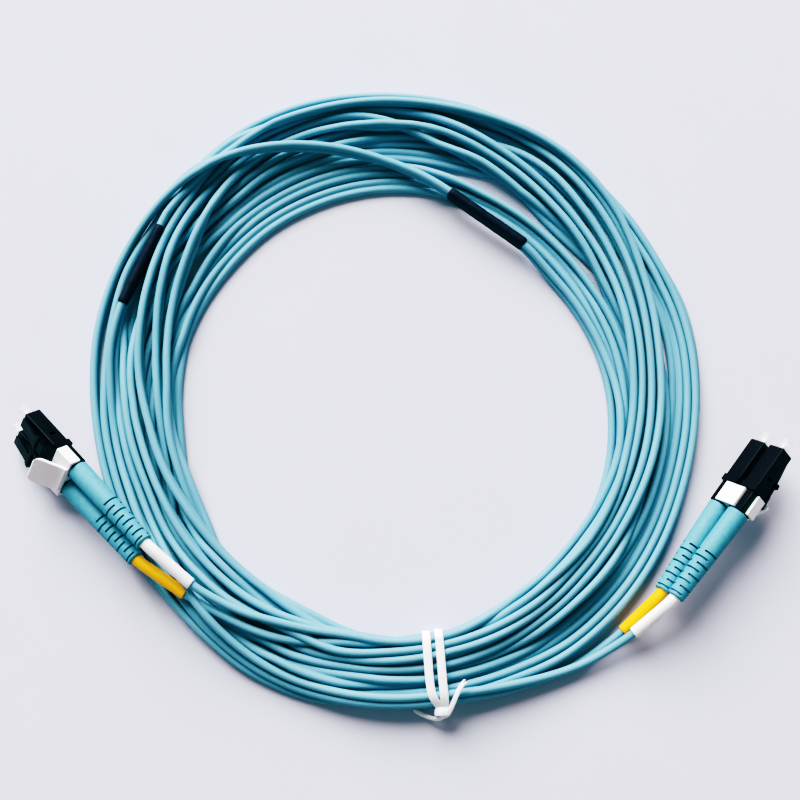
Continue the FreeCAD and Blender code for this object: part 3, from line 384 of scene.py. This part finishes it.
sleeve_objs = {}
for name, table in SLEEVES.items():
    line, points = line_curve("sleeve_line", table, 10)
    bpy.data.objects.remove(line)
    lean = carried([row[3] for row in table], len(points))
    d = distances(points) / MM
    total = d[-1]
    near = np.minimum(d, total - d)
    scale = 1.0 - 0.10 * np.exp(-near / 0.25) + 0.012 * np.sin(d * 0.9) + 0.008 * np.sin(d * 2.3 + 0.6)
    sleeve_objs[name] = skin("sleeve_" + name, leaned(points, lean, oval_outline(1.33, 1.03), scale),
                             d * MM)

# ---------------------------------------------------------------------- tie
# A white plastic strip with a wire core, drawn twice round the coil and
# twisted on the outside. Middle lines in millimetres.
BAND_A = (
    (10.6, -79.2, 5.1), (10.35, -78.45, 5.85), (9.9, -77.85, 6.4), (9.2, -77.0, 7.1), (8.6, -75.9, 7.7), (8.15, -74.3, 7.8),
    (7.85, -72.0, 7.85), (7.6, -69.0, 7.9), (7.4, -66.0, 7.9), (7.25, -64.0, 7.88), (7.15, -62.2, 7.6), (7.1, -61.2, 7.1),
    (7.05, -60.55, 6.0), (7.05, -60.4, 4.7), (7.05, -60.75, 3.2), (7.1, -61.6, 1.4), (7.15, -62.8, 0.34), (7.3, -65.0, 0.24),
    (7.6, -70.0, 0.24), (7.9, -74.5, 0.24), (8.3, -76.8, 0.35), (9.0, -78.3, 1.2), (9.9, -78.8, 2.6), (10.5, -79.0, 4.2))
BAND_B = (
    (11.4, -79.2, 5.1), (11.5, -78.4, 5.9), (11.5, -77.7, 6.5), (11.45, -76.9, 7.1), (11.35, -75.6, 7.7), (11.05, -73.0, 7.85),
    (10.75, -69.0, 7.9), (10.45, -65.2, 7.92), (10.3, -63.2, 7.9), (10.15, -61.6, 7.85), (10.08, -60.6, 7.2), (10.02, -60.05, 6.2),
    (10.0, -59.9, 4.9), (10.0, -60.2, 3.2), (10.05, -61.2, 1.2), (10.15, -62.3, 0.34), (10.4, -65.5, 0.24), (10.8, -70.5, 0.24),
    (11.1, -74.5, 0.25), (11.3, -76.6, 0.5), (11.4, -78.0, 1.6), (11.4, -78.6, 3.2), (11.4, -78.9, 4.3))
TAIL_A = (
    (11.7, -79.3, 5.3), (11.3, -80.3, 5.1), (10.6, -81.0, 4.5), (9.5, -81.2, 3.7), (8.2, -80.9, 2.9), (7.0, -80.45, 2.3),
    (5.9, -80.0, 1.8), (4.9, -79.5, 1.5), (4.0, -78.9, 1.3))
TAIL_B = (
    (10.3, -79.4, 5.2), (11.0, -80.5, 5.3), (11.9, -80.2, 5.9), (12.8, -78.9, 6.9), (13.5, -77.3, 7.9), (14.2, -75.6, 8.8),
    (14.9, -74.1, 9.4), (15.7, -72.9, 9.7), (16.6, -72.0, 9.85))
KNOT_AT = (11.0, -79.25, 5.3)


def strip(name, table, width, thick, flat, steps=8, narrow=(0.0, 0.0)):
    """Strip of lens-shaped section; flat(points, along) gives its face normals."""
    line, points = line_curve(name + "_line", table, steps)
    bpy.data.objects.remove(line)
    along = np.gradient(points, axis=0)
    along /= np.linalg.norm(along, axis=1)[:, None]
    face = flat(points, along)
    face -= along * (face * along).sum(1)[:, None]
    face /= np.linalg.norm(face, axis=1)[:, None]
    across = np.cross(along, face)
    a = np.linspace(0, 2 * math.pi, 20, endpoint=False)
    ca, sa = np.cos(a), np.sin(a)
    # flat with a thicker middle, where the wire runs
    x = np.sign(ca) * np.abs(ca) ** 0.55 * width / 2
    y = np.sign(sa) * np.abs(sa) ** 0.8 * thick / 2 * (0.72 + 0.28 * (1 - np.abs(ca)))
    d = distances(points) / MM
    fit = np.ones(len(points))
    for near, how in ((d, narrow[0]), (d[-1] - d, narrow[1])):
        if how:
            fit *= np.clip(1 - (np.maximum(how - near, 0) / how) ** 2, 0.0, 1) ** 0.5 * 0.98 + 0.02
    rings = points[:, None] + (x[None, :, None] * fit[:, None, None] * across[:, None]
                               + y[None, :, None] * face[:, None]) * MM
    return skin(name, rings, d * MM)


def outward(points, along):
    """Face normals of a band: away from the middle of the bundle."""
    middle = np.array((9.0, -68.5, 3.3)) * MM
    away = points - middle
    away[:, 0] = 0.0
    return away


def crossways(points, along):
    return np.cross(along, np.tile((1.0, 0.0, 0.0), (len(points), 1)))


def fixed(*normals):
    """Face normals turned evenly from the first given to the last."""
    def rule(points, along):
        t = np.linspace(0, 1, len(points))
        keys = np.linspace(0, 1, len(normals))
        given = np.array(normals, float)
        return np.stack([np.interp(t, keys, given[:, k]) for k in range(3)], 1)
    return rule


tie_parts = [
    strip("tie_band_a", BAND_A, 2.05, 0.46, crossways),
    strip("tie_band_b", BAND_B, 2.05, 0.46, crossways),
    strip("tie_tail_a", TAIL_A, 1.25, 0.5, fixed((0.1, -0.5, 0.8), (0.2, -0.6, 0.75), (0.3, -0.5, 0.8)), narrow=(0.0, 2.2)),
    strip("tie_tail_b", TAIL_B, 1.3, 0.5, fixed((-0.2, -0.6, 0.7), (-0.6, -0.1, 0.75), (-0.5, 0.1, 0.8)), narrow=(0.0, 0.6)),
]
# the strip's own turns round the ends of the two bands
wrap = []
for k in range(58):
    turn = math.radians(-150 + k * 13.0)
    f = k / 57
    wrap.append((KNOT_AT[0] + (1.65 + 0.12 * f) * math.cos(turn), KNOT_AT[1] + 0.4 - 0.95 * f,
                 KNOT_AT[2] + (1.12 + 0.12 * f) * math.sin(turn)))


def from_knot(points, along):
    away = points - np.array(KNOT_AT) * MM
    away[:, 1] *= 0.15
    return away


tie_parts.append(strip("tie_wrap", wrap, 1.55, 0.42, from_knot, steps=4, narrow=(0.8, 0.8)))
core = []
for k in range(9):
    f = k / 8
    core.append((KNOT_AT[0] + 0.1 * math.sin(f * 6), KNOT_AT[1] + 1.25 - 2.5 * f, KNOT_AT[2] + 0.1 * math.cos(f * 5)))
line, core_points = line_curve("tie_core_line", core, 4)
bpy.data.objects.remove(line)
span = distances(core_points)
girth = np.sqrt(np.clip(np.sin(np.pi * np.clip(span / span[-1], 0.02, 0.98)), 0, 1))
tie_parts.append(skin("tie_core", leaned(core_points, np.zeros(len(core_points)),
                                         oval_outline(0.85, 0.45), girth), span))
# the cut end of the wire in the tip of the raised tail
tip, before = Vector(TAIL_B[-1]), Vector(TAIL_B[-2])
run = (tip - before).normalized()
wire_table = [tuple(tip - run * 1.0 + Vector((0, 0, 0.06))), tuple(tip - run * 0.5 + Vector((0, 0, 0.1))),
              tuple(tip - run * 0.2 + Vector((0, 0, 0.16))), tuple(tip - run * 0.05 + Vector((0, 0, 0.3)))]
tie_wire, _ = line_curve("tie_wire", wire_table, 6)
tie_wire.data.bevel_depth = 0.2 * MM
tie_wire.data.bevel_resolution = 4
tie_wire.data.use_fill_caps = True

# ---------------------------------------------------------------- materials
def plastic(name, dark, light, rough, grain=900.0, spread=0.08, bump=0.02, bump_grain=2500.0,
            drawn=False, **constant):
    """Moulded or drawn plastic: slight colour change, uneven gloss, fine grain."""
    mat = bpy.data.materials.new(name)
    mat.use_nodes = True
    tree = mat.node_tree
    tree.nodes.clear()
    out = tree.nodes.new("ShaderNodeOutputMaterial")
    shader = tree.nodes.new("ShaderNodeBsdfPrincipled")
    tree.links.new(shader.outputs["BSDF"], out.inputs["Surface"])
    place = tree.nodes.new("ShaderNodeTexCoord")
    source = place.outputs["Object"]
    if drawn:
        # round and along the jacket: long faint streaks from the die
        stretch = tree.nodes.new("ShaderNodeMapping")
        stretch.inputs["Scale"].default_value = (9.0, 25.0, 1.0)
        tree.links.new(place.outputs["UV"], stretch.inputs["Vector"])
        streak_from = stretch.outputs["Vector"]
    else:
        streak_from = source
    cloud = tree.nodes.new("ShaderNodeTexNoise")
    cloud.inputs["Scale"].default_value = 1.0 if drawn else grain
    cloud.inputs["Detail"].default_value = 5.0
    cloud.inputs["Roughness"].default_value = 0.6
    tree.links.new(streak_from, cloud.inputs["Vector"])
    tint = tree.nodes.new("ShaderNodeValToRGB")
    tint.color_ramp.elements[0].position = 0.3
    tint.color_ramp.elements[0].color = (*dark, 1.0)
    tint.color_ramp.elements[1].position = 0.7
    tint.color_ramp.elements[1].color = (*light, 1.0)
    tree.links.new(cloud.outputs["Fac"], tint.inputs["Fac"])
    tree.links.new(tint.outputs["Color"], shader.inputs["Base Color"])
    rub = tree.nodes.new("ShaderNodeTexNoise")
    rub.inputs["Scale"].default_value = grain * 0.6
    rub.inputs["Detail"].default_value = 6.0
    tree.links.new(source, rub.inputs["Vector"])
    gloss = tree.nodes.new("ShaderNodeMapRange")
    gloss.inputs["From Min"].default_value = 0.25
    gloss.inputs["From Max"].default_value = 0.75
    gloss.inputs["To Min"].default_value = rough - spread
    gloss.inputs["To Max"].default_value = rough + spread
    tree.links.new(rub.outputs["Fac"], gloss.inputs["Value"])
    tree.links.new(gloss.outputs["Result"], shader.inputs["Roughness"])
    fine = tree.nodes.new("ShaderNodeTexNoise")
    fine.inputs["Scale"].default_value = bump_grain
    fine.inputs["Detail"].default_value = 3.0
    tree.links.new(source, fine.inputs["Vector"])
    relief = tree.nodes.new("ShaderNodeBump")
    relief.inputs["Strength"].default_value = bump
    relief.inputs["Distance"].default_value = 0.0002
    tree.links.new(fine.outputs["Fac"], relief.inputs["Height"])
    tree.links.new(relief.outputs["Normal"], shader.inputs["Normal"])
    for socket, value in constant.items():
        shader.inputs[socket.replace("_", " ")].default_value = value
    return mat


JACKET = plastic("jacket_aqua", (0.164, 0.336, 0.436), (0.197, 0.389, 0.498), 0.54, drawn=True, bump=0.05,
                 Specular_IOR_Level=0.28)
LOOKS = {
    "cord_aqua": JACKET,
    "plug_black": plastic("plug_black", (0.0115, 0.0022, 0.0068), (0.017, 0.0042, 0.0112), 0.36, grain=500.0, bump=0.12,
                          bump_grain=6000.0, Specular_IOR_Level=0.15),
    "clip_white": plastic("clip_white", (0.90, 0.90, 0.91), (0.95, 0.95, 0.95), 0.36, grain=400.0, bump=0.04,
                          Subsurface_Weight=0.2, Subsurface_Scale=0.0010),
    "boot_aqua": plastic("boot_aqua", (0.110, 0.295, 0.385), (0.140, 0.340, 0.435), 0.60, grain=900.0, bump=0.22,
                         bump_grain=6000.0, Specular_IOR_Level=0.35),
    "marker_white": plastic("marker_white", (0.90, 0.90, 0.90), (0.96, 0.96, 0.95), 0.45, bump=0.05,
                            Subsurface_Weight=0.15, Subsurface_Scale=0.0006),
    "marker_yellow": plastic("marker_yellow", (0.95, 0.43, 0.001), (1.0, 0.48, 0.003), 0.55, bump=0.05),
    "ferrule_ceramic": plastic("ferrule_ceramic", (0.82, 0.81, 0.77), (0.88, 0.87, 0.84), 0.15, bump=0.01),
    "holder_metal": plastic("holder_metal", (0.55, 0.55, 0.53), (0.65, 0.65, 0.62), 0.30, Metallic=1.0),
    "spring_steel": plastic("spring_steel", (0.45, 0.45, 0.45), (0.55, 0.55, 0.55), 0.28, Metallic=1.0),
    "crimp_metal": plastic("crimp_metal", (0.62, 0.60, 0.54), (0.70, 0.68, 0.62), 0.32, Metallic=1.0),
    "cap_clear": plastic("cap_clear", (0.93, 0.94, 0.97), (0.99, 0.99, 1.0), 0.42, bump=0.05,
                         Transmission_Weight=0.35, IOR=1.40, Alpha=0.36, Specular_IOR_Level=0.3),
    "shrink_black": plastic("shrink_black", (0.0150, 0.0075, 0.0225), (0.0230, 0.0120, 0.034), 0.62, grain=600.0, bump=0.3,
                            bump_grain=3000.0, Specular_IOR_Level=0.2),
    "tie_white": plastic("tie_white", (0.88, 0.88, 0.90), (0.94, 0.94, 0.95), 0.40, grain=500.0, bump=0.06,
                         Subsurface_Weight=0.15, Subsurface_Scale=0.0006),
    "wire_dark": plastic("wire_dark", (0.06, 0.06, 0.065), (0.12, 0.12, 0.12), 0.45, Metallic=0.6),
}

SLOT_OF = {row["node"]: row["material_slot"] for row in frame["record"]["subparts"]}
SHARP = ("housing_", "latch_", "rear_body_", "duplex_clip_", "trigger_")
for name, obj in NODES.items():
    obj.data.materials.clear()
    obj.data.materials.append(LOOKS[SLOT_OF[name]])
    if name.startswith(SHARP):
        weld = obj.modifiers.new("weld", "WELD")
        weld.merge_threshold = 0.000004
        bevel = obj.modifiers.new("edges", "BEVEL")
        bevel.width = 0.00011
        bevel.segments = 2
        bevel.limit_method = "ANGLE"
        bevel.angle_limit = math.radians(35)
        bevel.harden_normals = True


def dressed(obj, slot):
    obj.data.materials.append(LOOKS[slot])
    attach(obj, "cord")
    return obj


dressed(zip_cord, "cord_aqua")
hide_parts("cord_coil")
for tag, obj in leg_objs.items():
    dressed(obj, "cord_aqua")
    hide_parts("leg_" + tag)
    dressed(marker_objs[tag], "marker_white" if tag.endswith("upper") else "marker_yellow")
    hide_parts("marker_sleeve_" + tag)
for name, obj in sleeve_objs.items():
    dressed(obj, "shrink_black")
    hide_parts("heat_shrink_" + name)
for obj in tie_parts:
    dressed(obj, "tie_white")
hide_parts("coil_tie")
tie_wire.data.materials.append(LOOKS["wire_dark"])
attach(tie_wire, "cord")

# each coil spring node is swapped for its own copy on the cord body; its push direction is worked out but not applied
PUSH = {"left": (0.691325, -0.710657, 0.130526), "right": (-0.60293, -0.797794, 0.0)}
for tag in leg_objs:
    node = NODES["spring_" + tag]
    spring = bpy.data.objects.new("spring_coil_" + tag, node.data.copy())
    spring.matrix_world = node.matrix_world.copy()
    scene.collection.objects.link(spring)
    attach(spring, "cord")
    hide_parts("spring_" + tag)
    push = np.array(PUSH[tag.split("_")[0]])
    push /= np.linalg.norm(push)
    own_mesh(spring)

# --------------------------------------------------------- floor and light
bpy.ops.mesh.primitive_plane_add(size=6.0, location=(0.0, 0.0, 0.0))
floor = bpy.context.object
floor.name = "floor"
floor.data.materials.append(plastic("floor_pale", (0.590, 0.602, 0.700), (0.605, 0.618, 0.715), 0.75, grain=30.0,
                                    bump=0.02, bump_grain=900.0, Specular_IOR_Level=0.2))


def lamp(name, at, to, size, power, colour):
    data = bpy.data.lights.new(name, "AREA")
    data.shape = "DISK"
    data.size = size
    data.energy = power
    data.color = colour
    obj = bpy.data.objects.new(name, data)
    obj.location = at
    obj.rotation_euler = (Vector(to) - Vector(at)).to_track_quat("-Z", "Y").to_euler()
    scene.collection.objects.link(obj)


lamp("key", (-0.82, 2.30, 1.87), (0.0, 0.0, 0.0), 2.7, 244.0, (1.0, 0.99, 0.975))
lamp("fill", (0.9, -1.6, 2.4), (0.0, 0.0, 0.0), 2.2, 7.0, (0.93, 0.96, 1.0))
world = bpy.data.worlds.new("sky")
scene.world = world
world.use_nodes = True
world.node_tree.nodes["Background"].inputs["Color"].default_value = (0.92, 0.94, 1.0, 1.0)
world.node_tree.nodes["Background"].inputs["Strength"].default_value = 0.17
scene.view_settings.view_transform = "Standard"
# the picture's tone curve: a deep toe and a soft shoulder
scene.view_settings.use_curve_mapping = True
tones = scene.view_settings.curve_mapping
tones.white_level = (2.0, 2.0, 2.0)
curve = tones.curves[3]
for x, y in ((0.025, 0.018), (0.05, 0.06), (0.1, 0.20), (0.15, 0.36), (0.25, 0.585), (0.375, 0.73), (0.5, 0.805),
             (0.65, 0.88), (0.8, 0.94)):
    curve.points.new(x, y)
for x, y in ((0.024, 0.006), (0.04, 0.018), (0.055, 0.036), (0.072, 0.061), (0.1, 0.1), (0.15, 0.152), (0.25, 0.25), (0.5, 0.5),
             (0.75, 0.75)):
    tones.curves[0].points.new(x, y)
for x, y in ((0.25, 0.246), (0.5, 0.508), (0.7, 0.73), (0.85, 0.868)):
    tones.curves[2].points.new(x, y)
tones.update()
